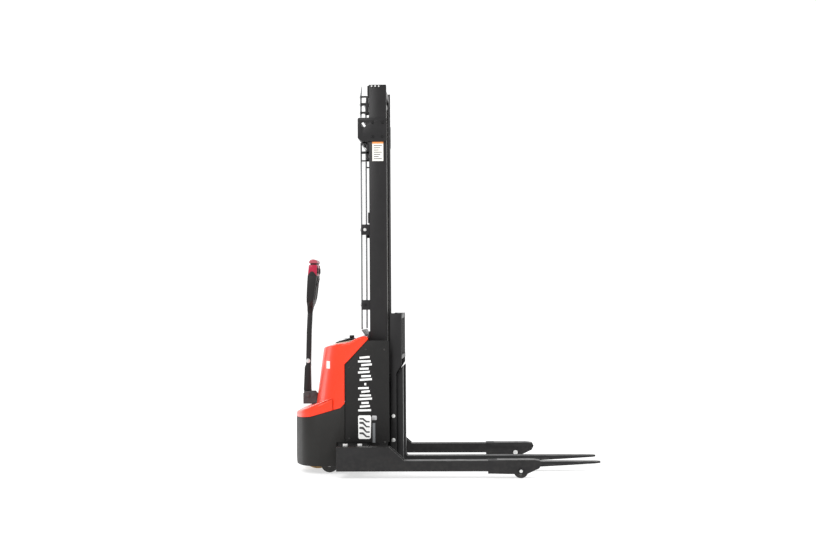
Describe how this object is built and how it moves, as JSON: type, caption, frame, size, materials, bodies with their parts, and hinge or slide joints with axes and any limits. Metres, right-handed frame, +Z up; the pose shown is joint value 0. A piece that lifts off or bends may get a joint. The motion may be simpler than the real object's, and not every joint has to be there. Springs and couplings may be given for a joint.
{
  "type": "walkie stacker",
  "caption": "Pedestrian electric straddle stacker: two-stage mast, forged forks, outrigger legs, steered tiller and drive unit under a moulded hood.",
  "frame": {"origin": "on the floor under the middle of the bounding box", "axes": "+X towards the fork tips, +Y to the left of someone facing the forks, +Z up"},
  "size_m": [1.752, 1.23, 2.212],
  "materials": {
    "black_steel": "satin black powder coat",
    "fork_steel": "satin black paint, worn at the tips",
    "hood_red": "gloss orange-red moulding",
    "skirt_black": "satin dark moulding",
    "panel_black": "fine textured black",
    "head_black": "matte black grip moulding",
    "head_red": "gloss crimson",
    "button_red": "gloss red",
    "button_yellow": "gloss yellow",
    "button_grey": "matte grey",
    "clear_guard": "clear polycarbonate",
    "zinc_bolt": "bright zinc",
    "steel": "bare machined steel",
    "chrome_rod": "hard chrome",
    "chain_steel": "oiled steel chain",
    "cast": "cast iron, grey primer",
    "motor_black": "black enamel",
    "urethane": "cast polyurethane",
    "tyre_black": "hard rubber",
    "battery_case": "moulded case",
    "electronics": "finned aluminium",
    "hose_rubber": "ribbed rubber",
    "tank_plastic": "translucent tank"
  },
  "bodies": {
    "chassis": {"chassis_frame": "black_steel", "rear_skirt": "skirt_black", "hood": "hood_red", "side_panel_left": "panel_black", "side_panel_right": "panel_black", "instrument_panel": "panel_black", "left_leg": "black_steel", "right_leg": "black_steel", "frame_bolts": "zinc_bolt", "outer_channel_left": "black_steel", "outer_channel_right": "black_steel", "mast_crossbars": "black_steel", "lifting_bracket": "black_steel", "mast_guard": "clear_guard", "lift_cylinders": "motor_black", "battery_pack": "battery_case", "battery_charger": "electronics", "motor_controller": "electronics", "hydraulic_pump": "motor_black", "oil_tank": "tank_plastic", "hydraulic_hoses": "hose_rubber", "anchor_chains": "chain_steel"},
    "ignition_key": {"key_switch": "zinc_bolt"},
    "disconnect_plunger": {"power_disconnect": "motor_black"},
    "steering": {"drive_gearbox": "cast", "drive_motor": "motor_black", "tiller_base": "cast", "tiller_pivot_pin": "steel"},
    "drive_wheel": {"drive_hub": "cast", "drive_tyre": "urethane"},
    "tiller": {"tiller_arm": "black_steel", "tiller_head": "head_black", "tiller_head_cover": "head_red"},
    "inner_stage": {"inner_mast": "black_steel", "lift_rods": "chrome_rod", "carriage_chains": "chain_steel"},
    "carriage": {"carriage_frame": "black_steel", "load_backrest": "black_steel", "carriage_bolts": "zinc_bolt"},
    "throttle": {"throttle": "head_black"},
    "belly_button": {"belly_button": "button_red"},
    "lift_button": {"lift_button": "button_grey"},
    "lower_button": {"lower_button": "button_grey"},
    "horn_button": {"horn_button": "button_grey"},
    "left_caster_fork": {"left_caster_fork": "steel"},
    "right_caster_fork": {"right_caster_fork": "steel"},
    "left_caster_wheel": {"left_caster_wheel": "tyre_black"},
    "right_caster_wheel": {"right_caster_wheel": "tyre_black"},
    "left_load_wheel": {"left_load_wheel": "urethane"},
    "right_load_wheel": {"right_load_wheel": "urethane"},
    "left_mast_roller": {"left_mast_roller": "steel"},
    "right_mast_roller": {"right_mast_roller": "steel"},
    "left_chain_sheave": {"left_chain_sheave": "steel"},
    "right_chain_sheave": {"right_chain_sheave": "steel"},
    "left_lower_carriage_roller": {"left_lower_carriage_roller": "steel"},
    "right_lower_carriage_roller": {"right_lower_carriage_roller": "steel"},
    "left_upper_carriage_roller": {"left_upper_carriage_roller": "steel"},
    "right_upper_carriage_roller": {"right_upper_carriage_roller": "steel"},
    "left_fork": {"left_fork": "fork_steel"},
    "right_fork": {"right_fork": "fork_steel"}
  },
  "joints": [
    {"name": "mast_lift", "type": "slide", "parent": "chassis", "child": "inner_stage", "axis": [0, 0, 1], "range_m": [0, 1.6], "deforming": ["anchor_chains"]},
    {"name": "carriage_lift", "type": "slide", "parent": "inner_stage", "child": "carriage", "axis": [0, 0, 1], "range_m": [0, 1.6], "deforming": ["carriage_chains"]},
    {"name": "steer", "type": "hinge", "parent": "chassis", "child": "steering", "pos_m": [-0.752, 0, 0.2], "axis": [0, 0, 1], "range_deg": [-70, 70]},
    {"name": "drive_wheel_spin", "type": "hinge", "parent": "steering", "child": "drive_wheel", "pos_m": [-0.752, 0, 0.105], "axis": [0, 1, 0], "continuous": true},
    {"name": "tiller_tilt", "type": "hinge", "parent": "steering", "child": "tiller", "pos_m": [-0.809, 0, 0.424], "axis": [0, -1, 0], "range_deg": [0, 80], "stiffness_Nm_per_rad": 26, "springref_deg": -28.65},
    {"name": "throttle_turn", "type": "hinge", "parent": "tiller", "child": "throttle", "pos_m": [-0.762, 0, 1.152], "axis": [0, 1, 0], "range_deg": [-25, 25], "stiffness_Nm_per_rad": 0.6},
    {"name": "belly_button_press", "type": "slide", "parent": "tiller", "child": "belly_button", "axis": [0, 0, -1], "range_m": [0, 0.008], "stiffness_N_per_m": 500, "springref_m": -0.006},
    {"name": "lift_button_press", "type": "slide", "parent": "tiller", "child": "lift_button", "axis": [-1, 0, 0], "range_m": [0, 0.003], "stiffness_N_per_m": 400, "springref_m": -0.003},
    {"name": "lower_button_press", "type": "slide", "parent": "tiller", "child": "lower_button", "axis": [-1, 0, 0], "range_m": [0, 0.003], "stiffness_N_per_m": 400, "springref_m": -0.003},
    {"name": "horn_button_press", "type": "slide", "parent": "tiller", "child": "horn_button", "axis": [-1, 0, 0], "range_m": [0, 0.003], "stiffness_N_per_m": 400, "springref_m": -0.003},
    {"name": "disconnect_pull", "type": "slide", "parent": "chassis", "child": "disconnect_plunger", "axis": [0, 0, 1], "range_m": [0, 0.01]},
    {"name": "key_turn", "type": "hinge", "parent": "chassis", "child": "ignition_key", "pos_m": [-0.6, 0.062, 0.734], "axis": [0, 0, 1], "range_deg": [0, 90]},
    {"name": "left_caster_swivel", "type": "hinge", "parent": "chassis", "child": "left_caster_fork", "pos_m": [-0.69, 0.25, 0.16], "axis": [0, 0, 1], "continuous": true},
    {"name": "left_caster_spin", "type": "hinge", "parent": "left_caster_fork", "child": "left_caster_wheel", "pos_m": [-0.665, 0.25, 0.05], "axis": [0, 1, 0], "continuous": true},
    {"name": "left_load_wheel_spin", "type": "hinge", "parent": "chassis", "child": "left_load_wheel", "pos_m": [0.412, 0.56, 0.04], "axis": [0, 1, 0], "continuous": true},
    {"name": "left_fork_slide", "type": "slide", "parent": "carriage", "child": "left_fork", "axis": [0, 1, 0], "range_m": [-0.08, 0.015]},
    {"name": "left_mast_roller_spin", "type": "hinge", "parent": "inner_stage", "child": "left_mast_roller", "pos_m": [-0.382, 0.2195, 0.15], "axis": [0, 1, 0], "range_deg": [-5, 2400]},
    {"name": "left_sheave_spin", "type": "hinge", "parent": "inner_stage", "child": "left_chain_sheave", "pos_m": [-0.381, 0.045, 2.112], "axis": [0, 1, 0], "range_deg": [-2640, 5]},
    {"name": "left_lower_carriage_roller_spin", "type": "hinge", "parent": "carriage", "child": "left_lower_carriage_roller", "pos_m": [-0.382, 0.1775, 0.172], "axis": [0, 1, 0], "range_deg": [-5, 2600]},
    {"name": "left_upper_carriage_roller_spin", "type": "hinge", "parent": "carriage", "child": "left_upper_carriage_roller", "pos_m": [-0.382, 0.1775, 0.432], "axis": [0, 1, 0], "range_deg": [-5, 2600]},
    {"name": "right_caster_swivel", "type": "hinge", "parent": "chassis", "child": "right_caster_fork", "pos_m": [-0.69, -0.25, 0.16], "axis": [0, 0, 1], "continuous": true},
    {"name": "right_caster_spin", "type": "hinge", "parent": "right_caster_fork", "child": "right_caster_wheel", "pos_m": [-0.665, -0.25, 0.05], "axis": [0, 1, 0], "continuous": true},
    {"name": "right_load_wheel_spin", "type": "hinge", "parent": "chassis", "child": "right_load_wheel", "pos_m": [0.412, -0.56, 0.04], "axis": [0, 1, 0], "continuous": true},
    {"name": "right_fork_slide", "type": "slide", "parent": "carriage", "child": "right_fork", "axis": [0, 1, 0], "range_m": [-0.015, 0.08]},
    {"name": "right_mast_roller_spin", "type": "hinge", "parent": "inner_stage", "child": "right_mast_roller", "pos_m": [-0.382, -0.2195, 0.15], "axis": [0, 1, 0], "range_deg": [-5, 2400]},
    {"name": "right_sheave_spin", "type": "hinge", "parent": "inner_stage", "child": "right_chain_sheave", "pos_m": [-0.381, -0.045, 2.112], "axis": [0, 1, 0], "range_deg": [-2640, 5]},
    {"name": "right_lower_carriage_roller_spin", "type": "hinge", "parent": "carriage", "child": "right_lower_carriage_roller", "pos_m": [-0.382, -0.1775, 0.172], "axis": [0, 1, 0], "range_deg": [-5, 2600]},
    {"name": "right_upper_carriage_roller_spin", "type": "hinge", "parent": "carriage", "child": "right_upper_carriage_roller", "pos_m": [-0.382, -0.1775, 0.432], "axis": [0, 1, 0], "range_deg": [-5, 2600]}
  ],
  "couplings": [
    {"joint": "carriage_lift", "follows": "mast_lift", "ratio": 1},
    {"joint": "left_mast_roller_spin", "follows": "mast_lift", "rad_per_m": 25.907},
    {"joint": "left_sheave_spin", "follows": "mast_lift", "rad_per_m": -28.571},
    {"joint": "left_lower_carriage_roller_spin", "follows": "mast_lift", "rad_per_m": 28.09},
    {"joint": "left_upper_carriage_roller_spin", "follows": "mast_lift", "rad_per_m": 28.09},
    {"joint": "right_mast_roller_spin", "follows": "mast_lift", "rad_per_m": 25.907},
    {"joint": "right_sheave_spin", "follows": "mast_lift", "rad_per_m": -28.571},
    {"joint": "right_lower_carriage_roller_spin", "follows": "mast_lift", "rad_per_m": 28.09},
    {"joint": "right_upper_carriage_roller_spin", "follows": "mast_lift", "rad_per_m": 28.09}
  ]
}
